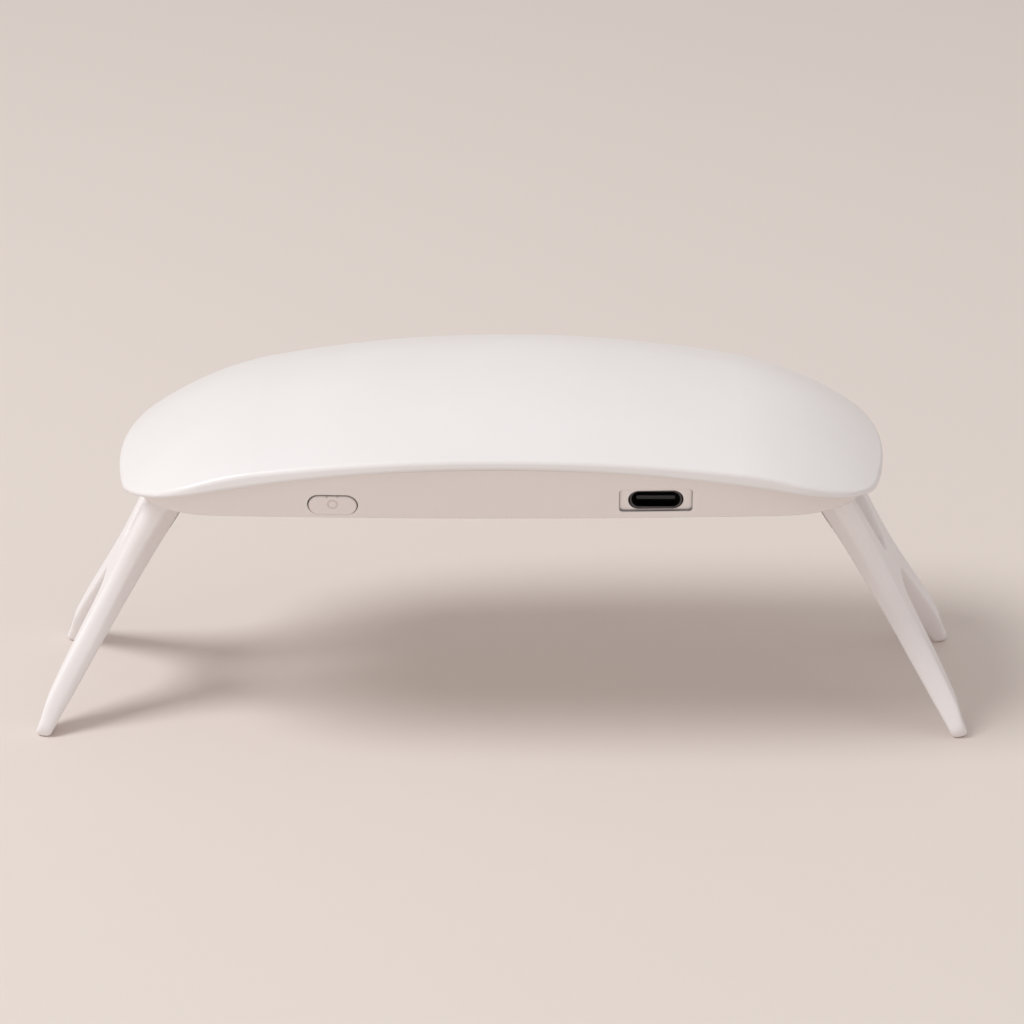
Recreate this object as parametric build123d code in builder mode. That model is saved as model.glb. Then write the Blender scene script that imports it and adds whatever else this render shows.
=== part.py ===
"""Fold-leg LED nail lamp, modelled in millimetres.

The lamp stands on its four feet with both legs open. +X runs along the long side, from
the button end to the socket end. +Y points away from the user and +Z points up. The origin
lies on the table, under the middle of the lamp.
"""
import math
import os

from build123d import *

os.makedirs("parts", exist_ok=True)

# Overall size of the closed body
body_length = 134.6
body_depth = 69.6
body_top = 60.8
underside_z = 42.4

# Plan outline of the top shell: long sides, ends and corners are tangent arcs. A bulge is how
# far the middle of a side or an end stands out past its corners
shell_side_bulge = 5.2
shell_end_bulge = 7.2
shell_corner_margin = 17.8

# Crown of the top shell: flat along the middle and steeper past its shoulders
crown_shoulder_distance = 24.8
crown_shoulder_drop = 3.8
crown_end_drop = 14.6
crown_side_drop = 5.5
crown_overrun = 6.0
crown_section_depth = 30.0
end_wedge_angle = 45.0
shell_edge_radius = 0.9
shell_wall = 1.8
lip_radius = 0.6

# Arched line where shell and housing part
parting_top = 53.35
parting_end_drop = 9.7
parting_gap = 0.12

# Lower housing: a squarer outline at the underside, walls that lean out towards the shell
underside_end_step = 2.8
underside_side_step = 6.9
underside_side_bulge = 2.31
underside_end_bulge = 6.88
underside_corner_radius = 15.0
housing_wall = 1.9
housing_floor = 1.7
wall_reference_height = 14.0
wall_reference_inset = 1.0
rim_height = 2.2
rim_clearance = 0.15

# Folding legs: a wishbone with a window, a waist and two splayed feet
leg_open_angle = 27.0
leg_fold_travel = 115.5
hinge_end_distance = 8.9
folded_recess = 0.4
knuckle_radius = 3.5
knuckle_side_distance = 17.8
waist_narrowing = 3.4
waist_distance = 24.5
foot_end_radius = 1.5
foot_side_margin = 1.9
foot_inner_shift = 3.3
foot_flat_width = 1.0
sole_cut = 0.45
leg_bend_radius = 34.0
crotch_distance = 29.5
crotch_half_width = 6.2
crotch_radius = 5.0
window_start = 6.4
window_end = 22.0
window_side_width = 6.6
window_end_half_width = 3.4
window_corner_radius = 2.2
knuckle_overrun = 4.0
leg_bevel_setback = 0.6
leg_bevel_angle = 25.0
leg_edge_ease = 0.5
cut_overrun = 0.1

# Leg wells in the housing, and the ears that carry the hinge pins
well_gap = 0.35
well_wall = 1.0
stop_gap = 0.08
ear_width = 2.7
pin_radius = 1.0
pin_running_clearance = 0.04
pin_seat_clearance = 0.02
pin_end_chamfer = 0.2
pin_end_room = 0.5

# Window for the light in the underside, and the reflector behind it
light_window_length = 42.8
light_window_width = 14.0
light_window_corner = 5.0
reflector_overlap = 1.6
reflector_seat_gap = 0.05
reflector_lamp_gap = 0.32
led_pitch_x = 14.0
led_row_half_pitch = 3.6
led_base_size = 5.0
led_base_height = 0.9
led_dome_radius = 2.1
led_dome_height = 1.5
led_dome_root = 0.2
cup_mouth_radius = 3.2
cup_throat_clearance = 0.35

# Circuit board
board_height = 3.6
board_thickness = 1.0
board_half_length = 25.0
board_back_y = 15.0
board_wall_clearance = 0.31
board_wing_end_distance = 32.7
board_wing_depth = 7.0
board_corner_radius = 1.0
solder_gap = 0.03

# Socket in the front wall: a standard USB type C receptacle
port_end_distance = 40.3
port_shell_width = 8.94
port_shell_height = 3.26
port_shell_corner = 1.6
port_shell_wall = 0.3
port_shell_length = 7.3
port_setback = 0.7
port_hole_clearance = 0.25
pocket_width = 12.5
pocket_height = 4.6
pocket_corner = 0.6
pocket_depth = 0.45
tongue_width = 6.69
tongue_thickness = 0.7
tongue_corner = 0.2
tongue_setback = 0.9
socket_block_depth = 2.2
socket_block_clearance = 0.02

# Timer button and the side-acting switch behind it
button_end_distance = 39.1
button_rise = 2.7
button_width = 8.4
button_height = 3.8
button_clearance = 0.14
button_proud = 0.3
button_edge_round = 0.35
button_travel = 0.4
button_flange_grow = 1.3
button_flange_thickness = 0.4
button_ring_radius = 1.05
button_ring_width = 0.22
button_ring_depth = 0.12
switch_width = 6.0
switch_depth = 3.4
switch_height = 3.2
plunger_width = 2.6
plunger_height = 1.3
plunger_corner = 0.3
plunger_length = 1.2
plunger_root = 0.9
plunger_drop = 0.6
plunger_gap = 0.03
plunger_hole_clearance = 0.06

# Screws
screw_hinge_distance = 11.2
housing_screw_y = 4.6
housing_screw_radius = 1.0
housing_screw_head_radius = 1.8
housing_screw_head_height = 1.1
housing_screw_length = 5.6
housing_screw_seat_rise = 0.15
boss_radius = 2.3
screw_hole_clearance = 0.1
screw_end_room = 0.2
screw_head_chamfer = 0.35
screw_recess_width = 0.45
screw_recess_depth = 0.5
board_screw_length = 4.2
board_screw_head_radius = 1.7
board_screw_head_height = 1.0
board_screw_radius = 0.85
board_boss_radius = 2.0
board_screw_edge_distance = 2.8
board_screw_front_x = 15.5

# Small parts on the upper side of the board: sizes as length, depth and height, places as X and Y
timer_chip_size = (4.9, 3.9, 1.4)
timer_chip_leads = 4
timer_chip_pitch = 1.27
timer_chip_place = (-11.0, -8.0)
driver_chip_size = (2.9, 1.6, 1.1)
driver_chip_leads = 3
driver_chip_pitch = 0.95
driver_chip_place = (11.0, -14.0)
chip_standoff = 0.1
chip_edge_chamfer = 0.15
lead_reach = 1.0
lead_width = 0.4
lead_thickness = 0.2
lead_root = 0.2
inductor_size = 5.2
inductor_corner = 1.0
inductor_height = 2.8
inductor_chamfer = 0.4
inductor_place = (11.0, -5.0)
capacitor_size = (2.0, 1.25, 0.9)
capacitor_places = [(18.0, -14.0), (18.0, -10.0), (4.5, -8.0), (-18.0, -8.0)]
resistor_size = (1.6, 0.8, 0.5)
resistor_places = [(-11.0, 2.0), (-7.0, 2.0), (-3.0, 2.0), (5.0, 2.0), (18.0, -5.0), (-20.0, -14.0)]

# Values worked out from the driving sizes
underside_length = body_length - 2 * underside_end_step
underside_depth = body_depth - 2 * underside_side_step
shell_corner_radius = body_depth / 2 - shell_corner_margin
floor_top = underside_z + housing_floor
board_bottom = floor_top + board_height
board_top = board_bottom + board_thickness
board_wing_half_length = body_length / 2 - board_wing_end_distance
port_x = body_length / 2 - port_end_distance
port_z = board_bottom - solder_gap - port_shell_height / 2
button_x = button_end_distance - body_length / 2
button_z = underside_z + button_rise
fold_end_angle = leg_open_angle - leg_fold_travel
hinge_x = underside_length / 2 - hinge_end_distance
hinge_z = underside_z + knuckle_radius - folded_recess
knuckle_half_width = body_depth / 2 - knuckle_side_distance
pin_length = 2 * (knuckle_half_width + well_gap + ear_width)
waist_half_width = knuckle_half_width - waist_narrowing
window_top_half_width = knuckle_half_width - window_side_width
reflector_half_width = light_window_width / 2 + reflector_overlap
foot_half_spread = underside_depth / 2 - foot_side_margin
foot_width = (foot_half_spread - reflector_half_width) / 2 - foot_inner_shift
foot_corner_radius = (foot_width - foot_flat_width) / 2
foot_centre_z = foot_end_radius - sole_cut
foot_lean = math.radians(leg_open_angle)
foot_offset = knuckle_radius - foot_end_radius
foot_distance = (hinge_z + foot_offset * math.sin(foot_lean) - foot_centre_z) / math.cos(foot_lean)
leg_half_taper = math.asin(foot_offset / foot_distance)


def arc_radius(half_chord, drop):
    """Radius of an arc that drops by a height at half its chord."""
    return (half_chord**2 + drop**2) / (2 * drop)


shell_side_radius = arc_radius(body_length / 2, shell_side_bulge)
shell_end_radius = arc_radius(body_depth / 2, shell_end_bulge)
underside_side_radius = arc_radius(underside_length / 2, underside_side_bulge)
underside_end_radius = arc_radius(underside_depth / 2, underside_end_bulge)
shoulder_x = body_length / 2 - crown_shoulder_distance
arch_radius = arc_radius(shoulder_x, crown_shoulder_drop)
shoulder_angle = math.asin(shoulder_x / arch_radius)
end_fall = crown_end_drop - crown_shoulder_drop
end_arch_radius = (crown_shoulder_distance**2 + end_fall**2) / (
    2 * (end_fall * math.cos(shoulder_angle) - crown_shoulder_distance * math.sin(shoulder_angle))
)
crown_radius = arc_radius(body_depth / 2, crown_side_drop)
parting_radius = arc_radius(body_length / 2, parting_end_drop)


def arc_corners(half_length, half_depth, side_radius, end_radius, corner_radius):
    """Centre of the corner arc, and where it meets the side arc and the end arc."""
    side_centre = Vector(0, half_depth - side_radius)
    end_centre = Vector(half_length - end_radius, 0)
    to_side = side_radius - corner_radius
    to_end = end_radius - corner_radius
    span = (end_centre - side_centre).length
    along = (to_side**2 - to_end**2 + span**2) / (2 * span)
    away = math.sqrt(to_side**2 - along**2)
    forward = (end_centre - side_centre).normalized()
    outward = Vector(forward.Y, -forward.X)
    centre = side_centre + forward * along + outward * away
    on_side = side_centre + (centre - side_centre).normalized() * side_radius
    on_end = end_centre + (centre - end_centre).normalized() * end_radius
    halfway = (on_side - centre).normalized() + (on_end - centre).normalized()
    return on_side, centre + halfway.normalized() * corner_radius, on_end


def oval_plan(length, depth, side_radius, end_radius, corner_radius, inset):
    """Closed outline of eight tangent arcs, moved in by the inset."""
    half_length = length / 2 - inset
    half_depth = depth / 2 - inset
    on_side, middle, on_end = arc_corners(
        half_length, half_depth, side_radius - inset, end_radius - inset, corner_radius - inset
    )
    with BuildSketch(mode=Mode.PRIVATE) as plan:
        with BuildLine():
            for end, side in ((1, 1), (1, -1), (-1, -1), (-1, 1)):
                ThreePointArc(
                    (end * on_side.X, side * on_side.Y),
                    (end * middle.X, side * middle.Y),
                    (end * on_end.X, side * on_end.Y),
                )
            for side in (1, -1):
                ThreePointArc(
                    (-on_side.X, side * on_side.Y),
                    (0, side * half_depth),
                    (on_side.X, side * on_side.Y),
                )
                ThreePointArc(
                    (side * on_end.X, -on_end.Y),
                    (side * half_length, 0),
                    (side * on_end.X, on_end.Y),
                )
        make_face()
    return plan.sketch


def shell_plan(inset):
    """Plan outline of the closed body, moved in by the inset."""
    return oval_plan(
        body_length, body_depth, shell_side_radius, shell_end_radius, shell_corner_radius, inset
    )


def side_arc_y(half_depth, side_radius, x):
    """How far out a long side's arc stands at a place along the lamp."""
    return half_depth - side_radius + math.sqrt(side_radius**2 - x**2)


def front_wall_y(x, z):
    """Outer face of the lower housing's front wall at a place and a height."""
    low = side_arc_y(underside_depth / 2, underside_side_radius, x)
    high = side_arc_y(body_depth / 2 - wall_reference_inset, shell_side_radius - wall_reference_inset, x)
    return -(low + (high - low) * (z - underside_z) / wall_reference_height)


def underside_plan(inset):
    """Outline of the lower housing at the underside, moved in by the inset."""
    return oval_plan(
        underside_length, underside_depth, underside_side_radius, underside_end_radius,
        underside_corner_radius, inset,
    )


def crown_sector(centre_x, centre_z, arch, crown, start, swing):
    """Wedge under a doubly curved patch, from a start angle off the vertical towards +X."""
    reach = body_depth / 2 + crown_overrun
    edge = arch - crown + math.sqrt(crown**2 - reach**2)
    foot = arch - crown_section_depth
    section = Plane(
        origin=(centre_x, 0, centre_z),
        x_dir=(0, 1, 0),
        z_dir=(math.cos(start), 0, -math.sin(start)),
    )
    with BuildPart(mode=Mode.PRIVATE) as wedge:
        with BuildSketch(section):
            with BuildLine():
                ThreePointArc((-reach, edge), (0, arch), (reach, edge))
                Polyline((reach, edge), (reach, foot), (-reach, foot), (-reach, edge))
            make_face()
        revolve(axis=Axis((centre_x, 0, centre_z), (0, 1, 0)), revolution_arc=math.degrees(swing))
    return wedge.part


def crowned_body(inset):
    """Solid under the crowned top, with the plan outline and a rounded upper edge."""
    crown = crown_radius - inset
    centre_z = body_top - arch_radius
    end_centre_x = (arch_radius - end_arch_radius) * math.sin(shoulder_angle)
    end_centre_z = centre_z + (arch_radius - end_arch_radius) * math.cos(shoulder_angle)
    end_swing = math.radians(end_wedge_angle)
    with BuildPart(mode=Mode.PRIVATE) as crowned:
        add(crown_sector(0, centre_z, arch_radius - inset, crown, -shoulder_angle, 2 * shoulder_angle))
        end_wedge = crown_sector(
            end_centre_x, end_centre_z, end_arch_radius - inset, crown, shoulder_angle, end_swing
        )
        add(end_wedge)
        mirror(end_wedge, about=Plane.YZ)
    with BuildPart(mode=Mode.PRIVATE) as body:
        with BuildSketch(Plane.XY.offset(underside_z - crown_overrun)):
            add(shell_plan(inset))
        extrude(amount=body_top - underside_z + 2 * crown_overrun)
        add(crowned.part, mode=Mode.INTERSECT)
        if shell_edge_radius > inset:
            walls = body.faces().filter_by(GeomType.CYLINDER)
            rim = walls.edges().filter_by(GeomType.LINE, reverse=True)
            fillet(rim.filter_by_position(Axis.Z, underside_z, body_top), radius=shell_edge_radius - inset)
    return body.part


def below_arch(lift):
    """Block under the arched parting surface, raised by the lift."""
    half = body_length / 2 + crown_overrun
    radius = parting_radius + lift
    drop = radius - math.sqrt(radius**2 - half**2)
    top = parting_top + lift
    with BuildPart(mode=Mode.PRIVATE) as block:
        with BuildSketch(Plane.XZ):
            with BuildLine():
                ThreePointArc((-half, top - drop), (0, top), (half, top - drop))
                Polyline((half, top - drop), (half, 0), (-half, 0), (-half, top - drop))
            make_face()
        extrude(amount=body_depth, both=True)
    return block.part


def tub(inset, bottom):
    """Leaning walls of the lower housing, moved in by the inset, from the bottom up."""
    with BuildPart(mode=Mode.PRIVATE) as body:
        with BuildSketch(Plane.XY.offset(underside_z)):
            add(underside_plan(inset))
        with BuildSketch(Plane.XY.offset(underside_z + wall_reference_height)):
            add(shell_plan(wall_reference_inset + inset))
        loft(ruled=True)
        if bottom > underside_z:
            split(bisect_by=Plane.XY.offset(bottom), keep=Keep.TOP)
    return body.part


def leg_plane(angle):
    """Plane of the right leg's outer face direction, with local -Y pointing down the leg."""
    lean = math.radians(angle)
    return Plane(
        origin=(hinge_x, 0, hinge_z), x_dir=(0, 1, 0), z_dir=(math.cos(lean), 0, math.sin(lean))
    )


def leg_side_plane(angle):
    """Plane across the hinge, with local X pointing out of the leg's outer face."""
    lean = math.radians(angle)
    return Plane(
        origin=(hinge_x, 0, hinge_z), x_dir=(math.cos(lean), 0, math.sin(lean)), z_dir=(0, -1, 0)
    )


def leg_side_outline(grow):
    """Side view of a leg: a knuckle and a foot end, joined by their two outer tangents."""
    knuckle = knuckle_radius + grow
    foot = foot_end_radius + grow
    foot_centre = Vector(foot_offset, -foot_distance)
    along = foot_centre.normalized()
    inner = along * (2 * along.X) - Vector(1, 0)
    foot_tip = foot_centre + along * foot
    foot_side = foot_centre + inner * foot
    with BuildSketch(mode=Mode.PRIVATE) as outline:
        with BuildLine():
            ThreePointArc((knuckle, 0), (0, knuckle), (inner.X * knuckle, inner.Y * knuckle))
            Line((inner.X * knuckle, inner.Y * knuckle), (foot_side.X, foot_side.Y))
            ThreePointArc(
                (foot_side.X, foot_side.Y),
                (foot_tip.X, foot_tip.Y),
                (foot_centre.X + foot, foot_centre.Y),
            )
            Line((foot_centre.X + foot, foot_centre.Y), (knuckle, 0))
        make_face()
    return outline.sketch


def leg_front_outline(grow):
    """View onto a leg's outer face: waisted sides, splayed feet and the arch between them."""
    foot_end = foot_distance + foot_end_radius + grow
    knuckle_end = knuckle_radius + grow
    run_out = knuckle_end + knuckle_overrun
    foot_inner = foot_half_spread - foot_width - grow
    with BuildSketch(mode=Mode.PRIVATE) as outline:
        with BuildLine():
            for side in (1, -1):
                FilletPolyline(
                    (side * (knuckle_half_width + grow), run_out),
                    (side * (knuckle_half_width + grow), knuckle_end),
                    (side * (waist_half_width + grow), -waist_distance),
                    (side * (foot_half_spread + grow), -foot_end),
                    radius=leg_bend_radius,
                )
                Line((side * (foot_half_spread + grow), -foot_end), (side * foot_inner, -foot_end))
            Line((-knuckle_half_width - grow, run_out), (knuckle_half_width + grow, run_out))
            FilletPolyline(
                (-foot_inner, -foot_end),
                (grow - crotch_half_width, -crotch_distance - grow),
                (crotch_half_width - grow, -crotch_distance - grow),
                (foot_inner, -foot_end),
                radius=crotch_radius - grow,
            )
        make_face()
        fillet(outline.vertices().sort_by(Axis.Y)[:4], radius=foot_corner_radius + grow)
    return outline.sketch


def leg_blank(angle, side_gap, face_gap):
    """Wishbone solid of the right leg without its window, grown at its sides and its faces."""
    with BuildPart(mode=Mode.PRIVATE) as blank:
        with BuildSketch(leg_plane(angle)):
            add(leg_front_outline(side_gap))
        extrude(amount=2 * knuckle_radius, both=True)
        with BuildSketch(leg_side_plane(angle)):
            add(leg_side_outline(face_gap))
        extrude(amount=foot_half_spread + foot_width, both=True, mode=Mode.INTERSECT)
    return blank.part


def window_outline():
    """View onto a leg's outer face: the tapered window between hinge and waist."""
    with BuildSketch(mode=Mode.PRIVATE) as outline:
        with BuildLine():
            FilletPolyline(
                (-window_top_half_width, -window_start),
                (window_top_half_width, -window_start),
                (window_end_half_width, -window_end),
                (-window_end_half_width, -window_end),
                radius=window_corner_radius,
                close=True,
            )
        make_face()
    return outline.sketch


def across_hinge(radius, length):
    """Round bar along the right hinge axis, centred on the lamp."""
    with BuildPart(mode=Mode.PRIVATE) as bar:
        with BuildSketch(Plane.XZ):
            with Locations((hinge_x, hinge_z)):
                Circle(radius)
        extrude(amount=length / 2, both=True)
    return bar.part


def front_cut(shape, x, z, from_y, to_y):
    """Profile in the front view, as a bar from one depth to another."""
    with BuildPart(mode=Mode.PRIVATE) as bar:
        with BuildSketch(Plane.XZ.offset(-from_y)):
            with Locations((x, z)):
                add(shape)
        extrude(amount=from_y - to_y)
    return bar.part


def slot_shape(width, height):
    """Pill outline with fully round ends."""
    with BuildSketch(mode=Mode.PRIVATE) as shape:
        SlotOverall(width, height)
    return shape.sketch


def rounded_shape(width, height, corner):
    """Rectangle with rounded corners."""
    with BuildSketch(mode=Mode.PRIVATE) as shape:
        RectangleRounded(width, height, corner)
    return shape.sketch


# Places that follow from the walls, the hinge and the roof of a leg well
board_front_y = front_wall_y(board_wing_half_length, board_bottom) + housing_wall + board_wall_clearance
port_mouth_y = front_wall_y(port_x, port_z) + port_setback
port_hole_end_y = port_mouth_y + 2 * housing_wall
board_screw_front_y = board_front_y + board_screw_edge_distance
board_screw_places = [
    (0.0, board_back_y - board_screw_edge_distance),
    (-board_screw_front_x, board_screw_front_y),
    (board_screw_front_x, board_screw_front_y),
]
housing_screw_x = hinge_x - screw_hinge_distance
screw_boss_places = [
    (side_x * housing_screw_x, side_y * housing_screw_y) for side_x in (1, -1) for side_y in (1, -1)
]
roof_slope = math.radians(-fold_end_angle - 90) - 2 * leg_half_taper
roof_z = hinge_z + knuckle_radius + well_gap + screw_hinge_distance * math.sin(roof_slope)
screw_seat_z = roof_z + housing_screw_seat_rise
boss_meet_z = screw_seat_z + well_wall

# Top shell: crowned cover with a rounded lip and four screw bosses
with BuildPart() as top_shell:
    add(crowned_body(0))
    add(below_arch(parting_gap), mode=Mode.SUBTRACT)
    lip = top_shell.faces().sort_by(Axis.Z)[0]
    fillet(lip.outer_wire().edges(), radius=lip_radius)
    add(crowned_body(shell_wall), mode=Mode.SUBTRACT)

with BuildPart(mode=Mode.PRIVATE) as shell_bosses:
    with BuildSketch(Plane.XY.offset(boss_meet_z + parting_gap)):
        with Locations(*screw_boss_places):
            Circle(boss_radius)
    extrude(amount=body_top)
    add(crowned_body(shell_wall / 2), mode=Mode.INTERSECT)
    with BuildSketch(Plane.XY.offset(boss_meet_z)):
        with Locations(*screw_boss_places):
            Circle(housing_screw_radius + pin_seat_clearance)
    extrude(amount=housing_screw_length - well_wall + screw_end_room, mode=Mode.SUBTRACT)

with top_shell:
    add(shell_bosses.part)
top_shell.part.label = "top_shell"
export_step(top_shell.part, "parts/top_shell.step")

# Lower housing: leaning walls, stepped rim, leg wells, hinge ears and bosses
with BuildPart(mode=Mode.PRIVATE) as cavity:
    add(crowned_body(shell_wall + rim_clearance))
    split(bisect_by=Plane.XY.offset(underside_z), keep=Keep.TOP)

with BuildPart(mode=Mode.PRIVATE) as rim_band:
    add(cavity.part)
    add(below_arch(0), mode=Mode.SUBTRACT)
    add(below_arch(rim_height), mode=Mode.INTERSECT)

with BuildPart(mode=Mode.PRIVATE) as right_well:
    add(leg_blank(fold_end_angle, well_gap + well_wall, well_gap + well_wall))
    for side in (1, -1):
        with BuildSketch(Plane.XZ.offset(side * (knuckle_half_width + well_gap + ear_width / 2))):
            with Locations((hinge_x, hinge_z)):
                Circle(knuckle_radius + well_gap + well_wall)
            with Locations((hinge_x, (hinge_z + underside_z) / 2)):
                Rectangle(2 * (knuckle_radius + well_gap + well_wall), hinge_z - underside_z)
        extrude(amount=ear_width / 2, both=True)
    add(cavity.part, mode=Mode.INTERSECT)

with BuildPart(mode=Mode.PRIVATE) as right_well_space:
    add(leg_blank(fold_end_angle, well_gap, well_gap))
    add(leg_blank(leg_open_angle, well_gap, stop_gap))
    add(across_hinge(pin_radius + pin_seat_clearance, pin_length + 2 * pin_end_room))

with BuildPart(mode=Mode.PRIVATE) as port_pocket:
    add(
        front_cut(
            rounded_shape(pocket_width, pocket_height, pocket_corner), port_x, port_z,
            port_hole_end_y, -body_depth / 2,
        )
    )
    add(tub(pocket_depth, underside_z), mode=Mode.SUBTRACT)

with BuildPart() as lower_housing:
    add(tub(0, underside_z))
    add(below_arch(0), mode=Mode.INTERSECT)
    add(rim_band.part)
    add(tub(housing_wall, floor_top), mode=Mode.SUBTRACT)
    add(right_well.part)
    mirror(right_well.part, about=Plane.YZ)
    with BuildSketch(Plane.XY.offset(floor_top)):
        with Locations(*board_screw_places):
            Circle(board_boss_radius)
    extrude(amount=board_bottom - floor_top)
    with BuildSketch(Plane.XY.offset(boss_meet_z)):
        with Locations(*screw_boss_places):
            Circle(boss_radius)
    extrude(amount=-well_wall)
    add(right_well_space.part, mode=Mode.SUBTRACT)
    mirror(right_well_space.part, about=Plane.YZ, mode=Mode.SUBTRACT)
    with BuildSketch(Plane.XY.offset(underside_z)):
        RectangleRounded(light_window_length, light_window_width, light_window_corner)
    extrude(amount=housing_floor, mode=Mode.SUBTRACT)
    with BuildSketch(Plane.XY.offset(board_bottom)):
        with Locations(*board_screw_places):
            Circle(board_screw_radius + pin_seat_clearance)
    extrude(amount=-(board_screw_length - board_thickness + screw_end_room), mode=Mode.SUBTRACT)
    with BuildSketch(Plane.XY.offset(underside_z)):
        with Locations(*screw_boss_places):
            Circle(housing_screw_head_radius + screw_hole_clearance)
    extrude(amount=screw_seat_z - underside_z, mode=Mode.SUBTRACT)
    with BuildSketch(Plane.XY.offset(underside_z)):
        with Locations(*screw_boss_places):
            Circle(housing_screw_radius + screw_hole_clearance)
    extrude(amount=boss_meet_z - underside_z + cut_overrun, mode=Mode.SUBTRACT)
    add(port_pocket.part, mode=Mode.SUBTRACT)
    add(
        front_cut(
            rounded_shape(
                port_shell_width + 2 * port_hole_clearance, port_shell_height + 2 * port_hole_clearance,
                port_shell_corner + port_hole_clearance,
            ),
            port_x, port_z, port_hole_end_y, -body_depth / 2,
        ),
        mode=Mode.SUBTRACT,
    )

# Timer button: a pill that follows the slope of the wall, with a flange behind it
flange_back_y = button_flange_thickness + button_clearance + housing_wall - underside_depth / 2
with BuildPart() as timer_button:
    add(
        front_cut(
            slot_shape(button_width, button_height), button_x, button_z, flange_back_y, -body_depth / 2,
        )
    )
    add(tub(-button_proud, underside_z), mode=Mode.INTERSECT)
    cap_face = timer_button.faces().sort_by(Axis.Y)[0]
    fillet(cap_face.outer_wire().edges(), radius=button_edge_round)

with BuildPart(mode=Mode.PRIVATE) as button_flange:
    with BuildSketch(Plane.XZ.offset(-flange_back_y)):
        with Locations((button_x, (floor_top + board_bottom) / 2)):
            Rectangle(button_width + 2 * button_flange_grow, board_bottom - floor_top - 4 * button_clearance)
    extrude(amount=body_depth)
    add(tub(housing_wall + button_clearance, underside_z), mode=Mode.INTERSECT)

with timer_button:
    add(button_flange.part)
    ring_face = timer_button.faces().sort_by(Axis.Y)[0]
    ring_centre = ring_face.center()
    with BuildSketch(Plane(ring_centre, x_dir=(1, 0, 0), z_dir=ring_face.normal_at(ring_centre))):
        Circle(button_ring_radius)
        Circle(button_ring_radius - button_ring_width, mode=Mode.SUBTRACT)
    extrude(amount=-button_ring_depth, mode=Mode.SUBTRACT)
timer_button.part.label = "timer_button"
export_step(timer_button.part, "parts/timer_button.step")

with lower_housing:
    add(
        front_cut(
            slot_shape(button_width + 2 * button_clearance, button_height + 2 * button_clearance),
            button_x, button_z, flange_back_y + button_travel + button_clearance, -body_depth / 2,
        ),
        mode=Mode.SUBTRACT,
    )
lower_housing.part.label = "lower_housing"
export_step(lower_housing.part, "parts/lower_housing.step")

# Side-acting switch under the front edge of the board
plunger_tip_y = flange_back_y + plunger_gap
switch_front_y = plunger_tip_y + plunger_length
plunger_z = board_bottom - switch_height / 2 - plunger_drop
plunger_root_y = switch_front_y + plunger_root
with BuildPart() as switch_plunger:
    with BuildSketch(Plane.XZ.offset(-plunger_tip_y)):
        with Locations((button_x, plunger_z)):
            RectangleRounded(plunger_width, plunger_height, plunger_corner)
    extrude(amount=plunger_tip_y - plunger_root_y)
switch_plunger.part.label = "switch_plunger"
export_step(switch_plunger.part, "parts/switch_plunger.step")

with BuildPart() as switch_body:
    with BuildSketch(Plane.XZ.offset(-switch_front_y)):
        with Locations((button_x, board_bottom - solder_gap - switch_height / 2)):
            Rectangle(switch_width, switch_height)
    extrude(amount=-switch_depth)
    with BuildSketch(Plane.XZ.offset(-switch_front_y)):
        with Locations((button_x, plunger_z)):
            RectangleRounded(
                plunger_width + 2 * plunger_hole_clearance,
                plunger_height + 2 * plunger_hole_clearance,
                plunger_corner,
            )
    extrude(amount=-(plunger_root + button_travel + plunger_hole_clearance), mode=Mode.SUBTRACT)
switch_body.part.label = "switch_body"
export_step(switch_body.part, "parts/switch_body.step")

# USB type C receptacle: folded metal shell, and the moulded block with its tongue
port_back_y = port_mouth_y + port_shell_length
with BuildPart() as usb_shell:
    add(
        front_cut(
            rounded_shape(port_shell_width, port_shell_height, port_shell_corner),
            port_x, port_z, port_back_y, port_mouth_y,
        )
    )
    add(
        front_cut(
            rounded_shape(
                port_shell_width - 2 * port_shell_wall, port_shell_height - 2 * port_shell_wall,
                port_shell_corner - port_shell_wall,
            ),
            port_x, port_z, port_back_y, port_mouth_y,
        ),
        mode=Mode.SUBTRACT,
    )
usb_shell.part.label = "usb_shell"
export_step(usb_shell.part, "parts/usb_shell.step")

with BuildPart() as usb_insulator:
    add(
        front_cut(
            rounded_shape(
                port_shell_width - 2 * (port_shell_wall + socket_block_clearance),
                port_shell_height - 2 * (port_shell_wall + socket_block_clearance),
                port_shell_corner - port_shell_wall - socket_block_clearance,
            ),
            port_x, port_z, port_back_y, port_back_y - socket_block_depth,
        )
    )
    add(
        front_cut(
            rounded_shape(tongue_width, tongue_thickness, tongue_corner),
            port_x, port_z, port_back_y - socket_block_depth / 2, port_mouth_y + tongue_setback,
        )
    )
usb_insulator.part.label = "usb_insulator"
export_step(usb_insulator.part, "parts/usb_insulator.step")

# Circuit board: a middle field over the lights and a wing along the front wall
led_places = [
    (column * led_pitch_x, row * led_row_half_pitch) for column in (-1, 0, 1) for row in (-1, 1)
]
with BuildPart() as main_board:
    with BuildSketch(Plane.XY.offset(board_bottom)):
        with Locations((0, (board_front_y + board_back_y) / 2)):
            Rectangle(2 * board_half_length, board_back_y - board_front_y)
        with Locations((0, board_front_y + board_wing_depth / 2)):
            Rectangle(2 * board_wing_half_length, board_wing_depth)
        with Locations(*board_screw_places):
            Circle(board_screw_radius + screw_hole_clearance, mode=Mode.SUBTRACT)
    extrude(amount=board_thickness)
    fillet(main_board.edges().filter_by(Axis.Z).filter_by(GeomType.LINE), radius=board_corner_radius)
main_board.part.label = "main_board"
export_step(main_board.part, "parts/main_board.step")

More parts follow.
